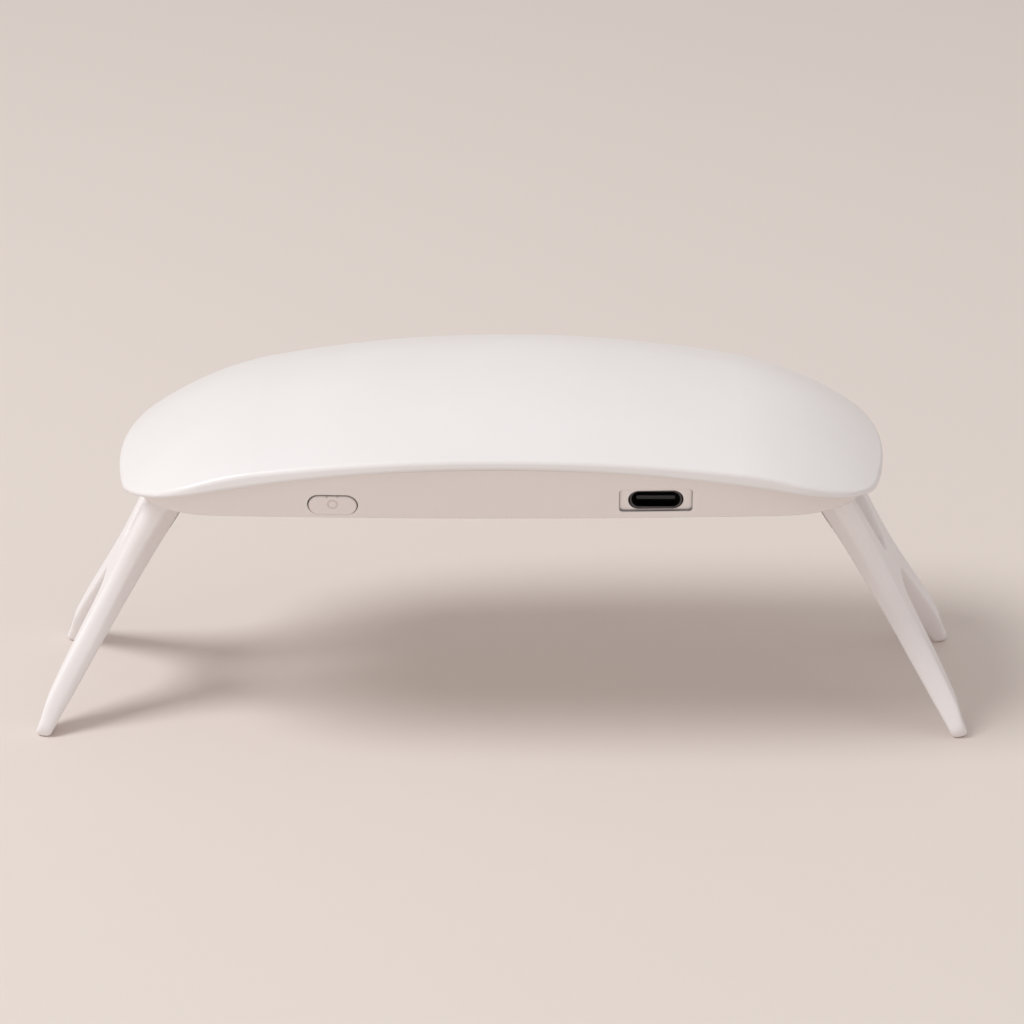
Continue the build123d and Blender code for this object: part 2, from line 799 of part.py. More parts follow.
# Six light sources: square package with a moulded dome, facing down
for number, (led_x, led_y) in enumerate(led_places, start=1):
    with BuildPart() as led:
        with BuildSketch(Plane.XY.offset(board_bottom - solder_gap)):
            with Locations((led_x, led_y)):
                Rectangle(led_base_size, led_base_size)
        extrude(amount=-led_base_height)
        dome_z = board_bottom - solder_gap - led_base_height
        curve = (led_dome_radius**2 + led_dome_height**2) / (2 * led_dome_height)
        half_turn = math.asin(led_dome_radius / curve) / 2
        with BuildSketch(Plane((led_x, led_y, dome_z), x_dir=(1, 0, 0), z_dir=(0, -1, 0))):
            with BuildLine():
                Polyline(
                    (0, -led_dome_height),
                    (0, led_dome_root),
                    (led_dome_radius, led_dome_root),
                    (led_dome_radius, 0),
                )
                ThreePointArc(
                    (led_dome_radius, 0),
                    (curve * math.sin(half_turn), curve * (1 - math.cos(half_turn)) - led_dome_height),
                    (0, -led_dome_height),
                )
            make_face()
        revolve(axis=Axis((led_x, led_y, 0), (0, 0, 1)))
    led.part.label = f"led_{number}"
    export_step(led.part, f"parts/led_{number}.step")

# Reflector: moulded plate with a tapered cup under each light source
reflector_bottom = floor_top + reflector_seat_gap
reflector_top = board_bottom - solder_gap - led_base_height - reflector_lamp_gap
with BuildPart() as reflector:
    with BuildSketch(Plane.XY.offset(reflector_bottom)):
        RectangleRounded(
            light_window_length + 2 * reflector_overlap,
            2 * reflector_half_width,
            light_window_corner + reflector_overlap,
        )
    extrude(amount=reflector_top - reflector_bottom)
    for led_x, led_y in led_places:
        with BuildSketch(Plane.XY.offset(reflector_bottom)):
            with Locations((led_x, led_y)):
                Circle(cup_mouth_radius)
        with BuildSketch(Plane.XY.offset(reflector_top)):
            with Locations((led_x, led_y)):
                Circle(led_dome_radius + cup_throat_clearance)
        loft(mode=Mode.SUBTRACT)
reflector.part.label = "reflector"
export_step(reflector.part, "parts/reflector.step")


# Parts on the upper side of the board
def chip(width, depth, height, leads, pitch):
    """Moulded chip with a row of bent leads along both long sides, standing on Z = 0."""
    middle = chip_standoff + height / 2
    root = depth / 2 - lead_root
    knee = (depth + lead_reach) / 2
    toe = depth / 2 + lead_reach
    with BuildPart(mode=Mode.PRIVATE) as body:
        with Locations((0, 0, middle)):
            Box(width, depth, height)
        chamfer(body.faces().sort_by(Axis.Z)[-1].edges(), length=chip_edge_chamfer)
        for side in (1, -1):
            with BuildSketch(Plane.YZ):
                with BuildLine():
                    Polyline(
                        (side * root, middle),
                        (side * knee, middle),
                        (side * knee, lead_thickness),
                        (side * toe, lead_thickness),
                        (side * toe, 0),
                        (side * (knee - lead_thickness), 0),
                        (side * (knee - lead_thickness), middle - lead_thickness),
                        (side * root, middle - lead_thickness),
                        close=True,
                    )
                make_face()
            lead_solid = extrude(amount=lead_width / 2, both=True, mode=Mode.PRIVATE)
            with Locations(*[((n - (leads - 1) / 2) * pitch, 0, 0) for n in range(leads)]):
                add(lead_solid)
    return body.part


def place(name, solid, spot):
    """Puts a loose solid on the upper side of the board and writes its file."""
    with BuildPart() as piece:
        with Locations((spot[0], spot[1], board_top + solder_gap)):
            add(solid)
    piece.part.label = name
    export_step(piece.part, f"parts/{name}.step")
    return piece


def chip_group(name, size, places):
    """Row of small two-ended parts that share one node."""
    with BuildPart() as group:
        with Locations(*[(x, y, board_top + solder_gap + size[2] / 2) for x, y in places]):
            Box(*size)
    group.part.label = name
    export_step(group.part, f"parts/{name}.step")
    return group


timer_chip_solid = chip(*timer_chip_size, timer_chip_leads, timer_chip_pitch)
timer_chip = place("timer_chip", timer_chip_solid, timer_chip_place)
driver_chip_solid = chip(*driver_chip_size, driver_chip_leads, driver_chip_pitch)
driver_chip = place("driver_chip", driver_chip_solid, driver_chip_place)
with BuildPart(mode=Mode.PRIVATE) as coil:
    with BuildSketch():
        RectangleRounded(inductor_size, inductor_size, inductor_corner)
    extrude(amount=inductor_height)
    chamfer(coil.faces().sort_by(Axis.Z)[-1].edges(), length=inductor_chamfer)
power_inductor = place("power_inductor", coil.part, inductor_place)
capacitors = chip_group("capacitors", capacitor_size, capacitor_places)
resistors = chip_group("resistors", resistor_size, resistor_places)


# Screws with pan heads and a cross recess
def pan_screw(head_radius, head_height, shank_radius, length):
    """Screw standing on Z = 0 with its head below and its shank pointing up."""
    with BuildPart(mode=Mode.PRIVATE) as screw:
        with BuildSketch(Plane.XY):
            Circle(head_radius)
        extrude(amount=-head_height)
        chamfer(screw.faces().sort_by(Axis.Z)[0].edges(), length=screw_head_chamfer)
        with BuildSketch(Plane.XY):
            Circle(shank_radius)
        extrude(amount=length)
        with BuildSketch(Plane.XY.offset(-head_height)):
            Rectangle(head_radius, screw_recess_width)
            Rectangle(screw_recess_width, head_radius)
        extrude(amount=screw_recess_depth, mode=Mode.SUBTRACT)
    return screw.part


with BuildPart() as housing_screws:
    with Locations(*[(x, y, screw_seat_z) for x, y in screw_boss_places]):
        add(
            pan_screw(
                housing_screw_head_radius,
                housing_screw_head_height,
                housing_screw_radius,
                housing_screw_length,
            )
        )
housing_screws.part.label = "housing_screws"
export_step(housing_screws.part, "parts/housing_screws.step")

with BuildPart() as board_screws:
    with Locations(*[Location((x, y, board_top), (180, 0, 0)) for x, y in board_screw_places]):
        add(
            pan_screw(
                board_screw_head_radius,
                board_screw_head_height,
                board_screw_radius,
                board_screw_length,
            )
        )
board_screws.part.label = "board_screws"
export_step(board_screws.part, "parts/board_screws.step")

# Legs: bevelled wishbone, cut to the side view, with a window, a hinge bore and flat soles
face_plane = leg_plane(leg_open_angle)
middle_plane = leg_plane(leg_open_angle + math.degrees(leg_half_taper))
with BuildPart(mode=Mode.PRIVATE) as bevel_block:
    with BuildSketch(middle_plane.offset(-leg_bevel_setback)):
        add(leg_front_outline(cut_overrun))
    extrude(amount=-(knuckle_radius - leg_bevel_setback + cut_overrun), taper=leg_bevel_angle)
    with BuildSketch(middle_plane.offset(-leg_bevel_setback)):
        Rectangle(4 * foot_half_spread, 4 * foot_distance)
    extrude(amount=3 * knuckle_radius)

with BuildPart() as right_leg:
    with BuildSketch(face_plane.offset(knuckle_radius - leg_edge_ease)):
        add(leg_front_outline(0))
    extrude(amount=-2 * knuckle_radius)
    with BuildSketch(face_plane.offset(knuckle_radius - leg_edge_ease)):
        add(leg_front_outline(0))
    extrude(amount=leg_edge_ease, taper=45)
    add(bevel_block.part, mode=Mode.INTERSECT)
    with BuildSketch(leg_side_plane(leg_open_angle)):
        add(leg_side_outline(0))
    extrude(amount=foot_half_spread + foot_width, both=True, mode=Mode.INTERSECT)
    with BuildSketch(face_plane):
        add(window_outline())
    extrude(amount=2 * knuckle_radius, both=True, mode=Mode.SUBTRACT)
    with BuildSketch(face_plane.offset(knuckle_radius - leg_edge_ease)):
        add(window_outline())
    extrude(amount=2 * leg_edge_ease, taper=-45, mode=Mode.SUBTRACT)
    split(bisect_by=Plane.XY, keep=Keep.TOP)
    add(across_hinge(pin_radius + pin_running_clearance, pin_length), mode=Mode.SUBTRACT)
right_leg.part.label = "right_leg"
export_step(right_leg.part, "parts/right_leg.step")

with BuildPart() as left_leg:
    mirror(right_leg.part, about=Plane.YZ)
left_leg.part.label = "left_leg"
export_step(left_leg.part, "parts/left_leg.step")

# Hinge pins, one through each knuckle and its two ears
with BuildPart() as right_hinge_pin:
    add(across_hinge(pin_radius, pin_length))
    chamfer(right_hinge_pin.faces().sort_by(Axis.Y)[0].edges(), length=pin_end_chamfer)
    chamfer(right_hinge_pin.faces().sort_by(Axis.Y)[-1].edges(), length=pin_end_chamfer)
right_hinge_pin.part.label = "right_hinge_pin"
export_step(right_hinge_pin.part, "parts/right_hinge_pin.step")

with BuildPart() as left_hinge_pin:
    mirror(right_hinge_pin.part, about=Plane.YZ)
left_hinge_pin.part.label = "left_hinge_pin"
export_step(left_hinge_pin.part, "parts/left_hinge_pin.step")
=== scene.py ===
"""Folding LED nail lamp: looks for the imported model, laid out as a Blender add-on."""

import math

import bmesh
import bpy
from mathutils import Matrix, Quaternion, Vector
from mathutils.bvhtree import BVHTree


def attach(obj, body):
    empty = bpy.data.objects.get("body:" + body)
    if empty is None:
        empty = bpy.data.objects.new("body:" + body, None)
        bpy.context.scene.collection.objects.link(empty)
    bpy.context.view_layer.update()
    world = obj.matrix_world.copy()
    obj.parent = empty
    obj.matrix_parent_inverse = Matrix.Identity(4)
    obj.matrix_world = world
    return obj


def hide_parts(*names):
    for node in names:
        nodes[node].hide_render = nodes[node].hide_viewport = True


bl_info = {
    "name": "Folding nail lamp",
    "version": (1, 0, 0),
    "blender": (4, 5, 0),
    "location": "3D View > Sidebar > Nail Lamp",
    "description": "Finishes, legs, button and studio for a folding LED nail lamp",
    "category": "Object",
}

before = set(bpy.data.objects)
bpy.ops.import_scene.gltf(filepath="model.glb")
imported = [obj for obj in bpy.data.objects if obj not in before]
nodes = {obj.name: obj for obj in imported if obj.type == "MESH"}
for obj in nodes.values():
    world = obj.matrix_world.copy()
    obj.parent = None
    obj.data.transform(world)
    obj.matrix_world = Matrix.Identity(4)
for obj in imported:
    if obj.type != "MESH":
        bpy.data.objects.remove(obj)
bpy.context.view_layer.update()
MM = 0.001
ACROSS = Vector((0, 1, 0))

# Moulded plastic: size of its marks, and where and how strongly they show
EDGE_RADIUS = 0.3 * MM
CLOUD_SIZE = 28 * MM
CLOUD_RANGE = (0.35, 0.7)
CLOUD_LEVEL = 0.35
SCUFF_SIZE = 6 * MM
RUB_RANGE = (0.01, 0.12)
RUB_LEVEL = 0.25
RUB_BRIGHTENS = 1.08
# Painted shade in seams and corners: how far ambient occlusion looks, where it sets in, and how
# dark it paints
CREVICE_SHADE_REACH = 0.6 * MM
CREVICE_SHADE_RANGE = (0.16, 0.5)
CREVICE_SHADE_DARKENS = 0.25
SCUFF_ROUGHENS = 0.08
RUB_SMOOTHS = 0.06
PEEL_SIZE = 0.9 * MM
PEEL_ROUGHENS = 0.04
PEEL_RELIEF = 0.004 * MM
PLASTIC_IOR = 1.5

# Resin of the light sources
RESIN_GRAIN_SIZE = 0.12 * MM
RESIN_GRAIN_RANGE = (0.35, 0.65)
RESIN_GRAIN_LEVEL = 0.5
RESIN_HAZE_SIZE = 1.5 * MM
RESIN_HAZE_RELIEF = 0.01 * MM
RESIN_IOR = 1.45

# Housing: the arched parting line, and the shade just under it
PARTING_TOP = 53.35 * MM
PARTING_RADIUS = 238.32 * MM
PARTING_SHADE_START = 0.8 * MM
PARTING_SHADE_FADE = 0.3 * MM
PARTING_SHADE_LEVEL = 0.5

# Legs: distances from the hinge between which a form fades in or out
STEEP_BEVEL_FADE = (12 * MM, 34 * MM)
BEVEL_START_FADE = (2 * MM, 7 * MM)
FOOT_ROUND_FADE = (8 * MM, 46 * MM)
HINGE_ROUND_FADE = (0.5 * MM, 5 * MM)
SWELL_RISE = (22 * MM, 44 * MM)
SWELL_FALL = (46 * MM, 51 * MM)
SWELL_LOST_AT_FEET = 0.9

# Legs: limits for a wall's direction, the bevel's reach and the final smoothing
WALL_LEAN_LIMIT = 0.35
SIDEWAYS_LIMIT = 0.4
BEVEL_REACH = 1.6
REMESH_SMOOTHING = 2
FACE_SMOOTHING = 3

# Timer button: its sunken upper edge, and the ring groove on its face with painted shade in it
CAP_BACK = -27.6 * MM
CAP_LEAN = 0.45 * MM
CAP_DROP = 0.09 * MM
CAP_SHARP_ANGLE = math.radians(10)
MERGE_DISTANCE = 0.001 * MM
RING_CENTRE = (-28.2 * MM, -29.1 * MM, 45.1 * MM)
RING_RADIUS = 0.94 * MM
RING_HALF_WIDTH = 0.22 * MM
RING_SOFTNESS = 0.3
GROOVE_SHADE_LEVEL = 0.35

# Stage: floor, lamps and camera
FLOOR_RADIUS = 4.0
FLOOR_SIDES = 96
FLOOR_FIBRE_SIZE = 1.2 * MM
FLOOR_FIBRE_RELIEF = 0.01 * MM
FLOOR_CLOUD_SIZE = 160 * MM
FLOOR_CLOUD_LEVEL = 0.3
LAMP_DISTANCE = 1.7
SENSOR_WIDTH = 36
CLIP_START = 0.01
CLIP_END = 50


def srgb(red, green, blue):
    """Linear colour of a screen colour given in 0 to 255."""
    return tuple(
        part / 12.92 if part <= 0.04045 else ((part + 0.055) / 1.055) ** 2.4
        for part in (red / 255, green / 255, blue / 255)
    )


class Value:
    """A number socket in a node tree, so that sums and products add Math nodes."""

    def __init__(self, maker, socket):
        self.maker = maker
        self.socket = socket

    def __add__(self, other):
        return self.maker.math("ADD", self, other)

    __radd__ = __add__

    def __mul__(self, other):
        return self.maker.math("MULTIPLY", self, other)

    __rmul__ = __mul__

    def __sub__(self, other):
        return self.maker.math("SUBTRACT", self, other)

    def __rsub__(self, other):
        return self.maker.math("SUBTRACT", other, self)

    def __truediv__(self, other):
        return self.maker.math("DIVIDE", self, other)

    def __rtruediv__(self, other):
        return self.maker.math("DIVIDE", other, self)


class NodeTree:
    """The node tree of a material or a world, emptied and then built by one method."""

    def __init__(self, owner):
        owner.use_nodes = True
        self.tree = owner.node_tree
        self.tree.nodes.clear()

    def node(self, kind, settings=None, sockets=None):
        """Adds a node: its settings first, then the values or links of its sockets."""
        made = self.tree.nodes.new(kind)
        for key, value in (settings or {}).items():
            if key == "stops":
                self.stops(made.color_ramp, value)
            else:
                setattr(made, key, value)
        for key, value in (sockets or {}).items():
            self.feed(made.inputs[key], value)
        return made

    def stops(self, ramp, stops):
        """Sets a ramp's stops, given as places and grey levels."""
        while len(ramp.elements) < len(stops):
            ramp.elements.new(0.5)
        for element, (place, level) in zip(ramp.elements, stops):
            element.position = place
            element.color = (level, level, level, 1)

    def feed(self, socket, value):
        """Links a socket to a value or another socket, or sets its number or colour."""
        if isinstance(value, Value):
            value = value.socket
        if isinstance(value, bpy.types.NodeSocket):
            self.tree.links.new(value, socket)
        elif socket.type == "RGBA":
            socket.default_value = (*value[:3], 1)
        else:
            socket.default_value = value

    def math(self, operation, *values):
        """Adds a Math node for the operation on the values."""
        made = self.node("ShaderNodeMath", {"operation": operation}, dict(enumerate(values)))
        return Value(self, made.outputs[0])


class Paint(NodeTree):
    """A material with one Principled shader, built from expressions."""

    def __init__(self, name):
        self.material = bpy.data.materials.new(name)
        super().__init__(self.material)
        self.shader = self.node("ShaderNodeBsdfPrincipled")
        self.node("ShaderNodeOutputMaterial", {}, {"Surface": self.shader.outputs[0]})

    def mix(self, factor, first, second):
        """Colour between two colours."""
        made = self.node("ShaderNodeMix", {"data_type": "RGBA"}, {0: factor, 6: first, 7: second})
        return made.outputs[2]

    def place(self):
        """Point on the piece in the frame, in metres, which moves with the piece."""
        return self.node("ShaderNodeTexCoord").outputs["Object"]

    def noise(self, size, detail=2.0, roughness=0.5, stretch=(1, 1, 1)):
        """Noise whose marks are about the given size, from 0 to 1."""
        scale = tuple(part / size for part in stretch)
        mapping = self.node("ShaderNodeMapping", {}, {"Vector": self.place(), "Scale": scale})
        made = self.node(
            "ShaderNodeTexNoise",
            {},
            {"Vector": mapping.outputs[0], "Scale": 1.0, "Detail": detail, "Roughness": roughness},
        )
        return Value(self, made.outputs[0])

    def ramp(self, value, low, high):
        """Grey level that goes from 0 at low to 1 at high."""
        made = self.node("ShaderNodeValToRGB", {"stops": [(low, 0.0), (high, 1.0)]}, {0: value})
        return Value(self, made.outputs[0])

    def rounded(self, radius):
        """Direction of the surface with its edges rounded to the radius."""
        return self.node("ShaderNodeBevel", {"samples": 6}, {"Radius": radius}).outputs[0]

    def vector_math(self, operation, output, first, second):
        """Adds a Vector Math node for the operation, and gives the output asked for."""
        made = self.node("ShaderNodeVectorMath", {"operation": operation}, {0: first, 1: second})
        return made.outputs[output]

    def distance(self, first, second):
        """Distance between two points."""
        return Value(self, self.vector_math("DISTANCE", "Value", first, second))

    def edge(self, rounded):
        """Level from 0 on flat faces towards 1 where the rounded direction turns away."""
        geometry = self.node("ShaderNodeNewGeometry")
        turn = self.vector_math("DOT_PRODUCT", "Value", rounded, geometry.outputs["Normal"])
        return 1 - Value(self, turn)

    def crevice(self, reach):
        """Level from 0 in the open towards 1 in seams and corners within the reach."""
        made = self.node("ShaderNodeAmbientOcclusion", {"samples": 8}, {"Distance": reach})
        return 1 - Value(self, made.outputs["AO"])

    def bump(self, height, distance, rounded=None):
        """Fine relief, on a surface whose edges may be rounded."""
        made = self.node("ShaderNodeBump", {}, {"Height": height, "Distance": distance})
        if rounded:
            self.feed(made.inputs["Normal"], rounded)
        self.set(Normal=made.outputs[0])

    def clamp(self, value):
        """The value held between 0 and 1."""
        return self.math("MINIMUM", self.math("MAXIMUM", value, 0.0), 1.0)

    def over(self, level, colour):
        """Lays a colour over what the base colour is so far."""
        below = self.shader.inputs["Base Color"].links[0].from_socket
        self.set(Base_Color=self.mix(level, below, colour))

    def set(self, **sockets):
        """Sets sockets of the shader; a low line in a name stands for a space."""
        for key, value in sockets.items():
            self.feed(self.shader.inputs[key.replace("_", " ")], value)


def moulded(name, colour, shade, roughness, crevice_shade=0.0):
    """Moulded plastic: faint clouds of shade, fine orange peel, rubbed edges, and painted shade
    darkening seams and corners.
    """
    paint = Paint(name)
    clouds = paint.noise(CLOUD_SIZE, 3.0)
    peel = paint.noise(PEEL_SIZE, 2.0)
    scuff = paint.noise(SCUFF_SIZE, 4.0, 0.6)
    rounded = paint.rounded(EDGE_RADIUS)
    rub = paint.ramp(paint.edge(rounded) * scuff, *RUB_RANGE)
    clouded = paint.mix(paint.ramp(clouds, *CLOUD_RANGE) * CLOUD_LEVEL, colour, shade)
    bright = tuple(min(1.0, part * RUB_BRIGHTENS) for part in colour)
    rubbed = paint.mix(rub * RUB_LEVEL, clouded, bright)
    # Painted shade: seams and corners darkened where ambient occlusion finds them hemmed in
    if crevice_shade:
        painted_crevice_shade = paint.ramp(paint.crevice(CREVICE_SHADE_REACH), *CREVICE_SHADE_RANGE) * crevice_shade
        rubbed = paint.mix(painted_crevice_shade, rubbed, tuple(part * CREVICE_SHADE_DARKENS for part in shade))
    marks = (scuff - 0.5) * SCUFF_ROUGHENS
    pits = (peel - 0.5) * PEEL_ROUGHENS
    paint.set(
        Base_Color=rubbed,
        Roughness=roughness + marks + pits - rub * RUB_SMOOTHS,
        IOR=PLASTIC_IOR,
    )
    paint.bump(peel, PEEL_RELIEF, rounded)
    return paint


def brushed_metal(name, dark, light, roughness, spread, grain, stretch=(1, 1, 1), relief=0.0):
    """Bare metal, whose brushing changes its tone and gloss."""
    paint = Paint(name)
    brushed = paint.noise(grain, 3.0, stretch=stretch)
    paint.set(
        Base_Color=paint.mix(brushed, dark, light),
        Metallic=1.0,
        Roughness=roughness + brushed * spread,
    )
    if relief:
        paint.bump(brushed, relief)
    return paint


def finish(paint, *names):
    """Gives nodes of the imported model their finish."""
    for name in names:
        data = nodes[name].data
        data.materials.clear()
        data.materials.append(paint.material)


def smooth_step(value, low, high):
    """Goes softly from 0 at low to 1 at high."""
    part = min(1.0, max(0.0, (value - low) / (high - low)))
    return part * part * (3 - 2 * part)


def stand_in(name, data, paint, node):
    """Shows a mesh in place of a node, on the body that has the node's name."""
    for face in data.polygons:
        face.use_smooth = True
    data.materials.clear()
    data.materials.append(paint.material)
    piece = bpy.data.objects.new(name, data)
    bpy.context.scene.collection.objects.link(piece)
    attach(piece, node)
    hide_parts(node)
    return piece


def remeshed(data, voxel, smoothing):
    """Copy of a mesh in even small quads, with its edges slightly softened."""
    former = bpy.data.objects.new("former", data.copy())
    bpy.context.scene.collection.objects.link(former)
    remesh = former.modifiers.new("remesh", "REMESH")
    remesh.mode = "VOXEL"
    remesh.voxel_size = voxel
    soften = former.modifiers.new("soften", "SMOOTH")
    soften.iterations = smoothing
    depsgraph = bpy.context.evaluated_depsgraph_get()
    made = bpy.data.meshes.new_from_object(former.evaluated_get(depsgraph))
    bpy.data.objects.remove(former)
    return made


def mirrored(data):
    """Copy of a mesh, mirrored from right to left."""
    made = data.copy()
    mesh = bmesh.new()
    mesh.from_mesh(made)
    for point in mesh.verts:
        point.co.x = -point.co.x
    bmesh.ops.reverse_faces(mesh, faces=mesh.faces)
    mesh.to_mesh(made)
    mesh.free()
    return made


class FinishSettings(bpy.types.PropertyGroup):
    """Colours of the lamp's finishes"""

    shell_colour: bpy.props.FloatVectorProperty(
        name="Cover", description="White of the top cover", subtype="COLOR", size=3,
        min=0, max=1, default=srgb(236, 233, 233),
    )
    housing_colour: bpy.props.FloatVectorProperty(
        name="Housing", description="White of the lower housing", subtype="COLOR", size=3,
        min=0, max=1, default=srgb(239, 233, 230),
    )
    leg_colour: bpy.props.FloatVectorProperty(
        name="Legs", description="White of the folding legs", subtype="COLOR", size=3,
        min=0, max=1, default=srgb(240, 235, 235),
    )
    button_colour: bpy.props.FloatVectorProperty(
        name="Button", description="White of the timer button", subtype="COLOR", size=3,
        min=0, max=1, default=srgb(240, 231, 229),
    )


class LegSettings(bpy.types.PropertyGroup):
    """Sizes of the legs' soft outer form"""

    hinge: bpy.props.FloatVectorProperty(
        name="Hinge", description="Middle of the right leg's hinge", subtype="XYZ", unit="LENGTH",
        size=3, default=(0.0556, 0.0, 0.0455),
    )
    lean: bpy.props.FloatProperty(
        name="Lean", description="Angle of an open leg from upright", subtype="ANGLE",
        default=math.radians(27.0),
    )
    half_thickness: bpy.props.FloatProperty(
        name="Half thickness", description="From the hinge to the leg's outer face",
        unit="LENGTH", default=0.0035,
    )
    bevel_start: bpy.props.FloatProperty(
        name="Bevel start", description="Height of the bevel line at the hinge, from its middle",
        unit="LENGTH", default=-0.0006,
    )
    bevel_rise: bpy.props.FloatProperty(
        name="Bevel rise", description="Rise of the bevel line per length of leg", default=0.0393
    )
    bevel_angle: bpy.props.FloatProperty(
        name="Bevel", description="Angle of the bevel at the shins", subtype="ANGLE",
        default=math.radians(25.0),
    )
    steep_bevel: bpy.props.FloatProperty(
        name="Steep bevel", description="Angle of the bevel near the hinge", subtype="ANGLE",
        default=math.radians(50.0),
    )
    window_end: bpy.props.FloatProperty(
        name="Window end", description="From the hinge to below the leg's window",
        unit="LENGTH", default=0.0225,
    )
    outer_round: bpy.props.FloatProperty(
        name="Outer edges", description="Rounding of the outer edges near the hinge",
        unit="LENGTH", default=0.0024,
    )
    inner_round: bpy.props.FloatProperty(
        name="Window edges", description="Rounding of the edges that face the leg's middle",
        unit="LENGTH", default=0.0014,
    )
    foot_round: bpy.props.FloatProperty(
        name="Foot edges", description="Rounding of the outer edges at the feet",
        unit="LENGTH", default=0.0015,
    )
    swell: bpy.props.FloatProperty(
        name="Swell", description="How far the shins stand out between waist and feet",
        unit="LENGTH", default=0.0008,
    )
    mesh_size: bpy.props.FloatProperty(
        name="Mesh size", description="Size of the legs' small faces", unit="LENGTH",
        default=0.0003,
    )


class StageSettings(bpy.types.PropertyGroup):
    """Camera, floor and lights"""

    floor_colour: bpy.props.FloatVectorProperty(
        name="Floor", description="Colour of the floor", subtype="COLOR", size=3,
        min=0, max=1, default=srgb(226, 216, 210),
    )
    azimuth: bpy.props.FloatProperty(
        name="Azimuth", description="Turn of the camera round the lamp", subtype="ANGLE",
        default=math.radians(1.364),
    )
    elevation: bpy.props.FloatProperty(
        name="Elevation", description="Height of the camera above the horizon", subtype="ANGLE",
        default=math.radians(20.357),
    )
    roll: bpy.props.FloatProperty(
        name="Roll", description="Turn of the camera about its own axis", subtype="ANGLE",
        default=math.radians(-0.46),
    )
    distance: bpy.props.FloatProperty(
        name="Distance", description="From the camera to the point it looks at", unit="LENGTH",
        default=0.7195,
    )
    target: bpy.props.FloatVectorProperty(
        name="Target", description="Point the camera looks at", subtype="XYZ", unit="LENGTH",
        size=3, default=(0.001784, 0.0, 0.033215),
    )
    lens: bpy.props.FloatProperty(
        name="Lens", description="Focal length on a 36 mm sensor", unit="CAMERA", default=141.86
    )
    key_power: bpy.props.FloatProperty(
        name="Key", description="Power of the large soft lamp", unit="POWER", default=16.8
    )
    key_size: bpy.props.FloatProperty(
        name="Key size", description="Width of the large soft lamp", unit="LENGTH", default=0.8
    )
    key_direction: bpy.props.FloatVectorProperty(
        name="Key direction", description="From the lamp on the table to the soft lamp",
        subtype="XYZ", size=3, default=(-0.62, -0.22, 0.85),
    )
    side_power: bpy.props.FloatProperty(
        name="Side", description="Power of the low soft lamp in front on the left", unit="POWER",
        default=2.4,
    )
    side_size: bpy.props.FloatProperty(
        name="Side size", description="Width of the low soft lamp", unit="LENGTH", default=1.4
    )
    side_direction: bpy.props.FloatVectorProperty(
        name="Side direction", description="From the lamp on the table to the low soft lamp",
        subtype="XYZ", size=3, default=(-0.25, -0.90, 0.35),
    )
    lamp_colour: bpy.props.FloatVectorProperty(
        name="Lamp colour", description="Colour of the soft lamps", subtype="COLOR", size=3,
        min=0, max=1, default=srgb(252, 255, 255),
    )
    right_power: bpy.props.FloatProperty(
        name="Right", description="Power of the weak soft lamp on the right", unit="POWER",
        default=2.0,
    )
    right_size: bpy.props.FloatProperty(
        name="Right size", description="Width of the weak soft lamp", unit="LENGTH", default=1.6
    )
    right_direction: bpy.props.FloatVectorProperty(
        name="Right direction", description="From the lamp on the table to the weak soft lamp",
        subtype="XYZ", size=3, default=(0.80, -0.25, 0.50),
    )
    fill_level: bpy.props.FloatProperty(
        name="Fill", description="Strength of the even light from all round", default=0.525
    )
    fill_colour: bpy.props.FloatVectorProperty(
        name="Fill colour", description="Colour of the even light", subtype="COLOR", size=3,
        min=0, max=1, default=srgb(255, 248, 246),
    )
    backdrop_colour: bpy.props.FloatVectorProperty(
        name="Backdrop", description="Colour behind the floor's far edge", subtype="COLOR", size=3,
        min=0, max=1, default=srgb(212, 203, 197),
    )


class NAILLAMP_OT_cover(bpy.types.Operator):
    """Finish the top cover"""

    bl_idname = "nail_lamp.cover"
    bl_label = "Top cover"

    def execute(self, context):
        settings = context.scene.nail_lamp_finish
        # The cover gets painted shade darkening its seams and corners.
        white = moulded("cover white", settings.shell_colour, srgb(227, 223, 222), 0.32, crevice_shade=0.8)
        finish(white, "top_shell")
        return {"FINISHED"}


class NAILLAMP_OT_housing(bpy.types.Operator):
    """Finish the lower housing"""

    bl_idname = "nail_lamp.housing"
    bl_label = "Lower housing"

    def execute(self, context):
        settings = context.scene.nail_lamp_finish
        # The housing gets painted shade darkening its seams and corners.
        white = moulded(
            "housing white", settings.housing_colour, srgb(233, 226, 222), 0.42, crevice_shade=0.8
        )
        side_view = white.vector_math("MULTIPLY", "Vector", white.place(), (1, 0, 1))
        from_centre = white.distance(side_view, (0, 0, PARTING_TOP - PARTING_RADIUS))
        risen = from_centre - (PARTING_RADIUS - PARTING_SHADE_START)
        shaded = white.clamp(risen / PARTING_SHADE_FADE) * PARTING_SHADE_LEVEL
        white.over(shaded, srgb(96, 82, 80))
        finish(white, "lower_housing")
        return {"FINISHED"}


